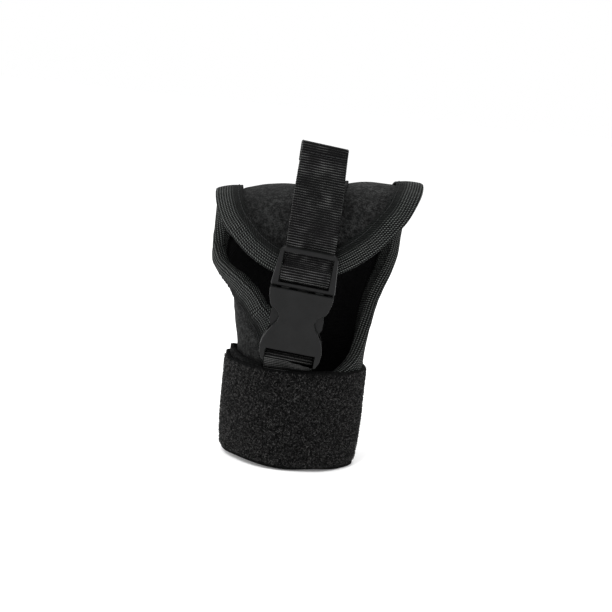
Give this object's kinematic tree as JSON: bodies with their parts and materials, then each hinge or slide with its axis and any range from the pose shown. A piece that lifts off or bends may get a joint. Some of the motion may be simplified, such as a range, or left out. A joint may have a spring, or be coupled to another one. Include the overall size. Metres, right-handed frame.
{
  "type": "finger holding rehabilitation glove",
  "caption": "Padded glove panel with bound edge, pull strap, side-release buckle and wrist strap, shaped as worn on a closed hand.",
  "frame": {"origin": "on the wrist's axis, at the middle of the wrist strap's height", "axes": "+Z from the wrist towards the knuckles, -Y the palm side with the buckle, +X the thumb side"},
  "size_m": [0.1044, 0.0773, 0.1676],
  "materials": {
    "cloth": "brushed padded cloth",
    "tape": "ribbed binding tape",
    "pile": "loop pile",
    "webbing": "ribbed webbing",
    "plastic": "satin moulded"
  },
  "bodies": {
    "root": {"glove_body": "cloth", "edge_binding": "tape", "hem_binding": "tape", "wrist_strap": "pile", "pull_strap": "webbing", "anchor_loop": "webbing", "buckle_frame": "plastic", "buckle_socket": "plastic"}
  },
  "joints": []
}
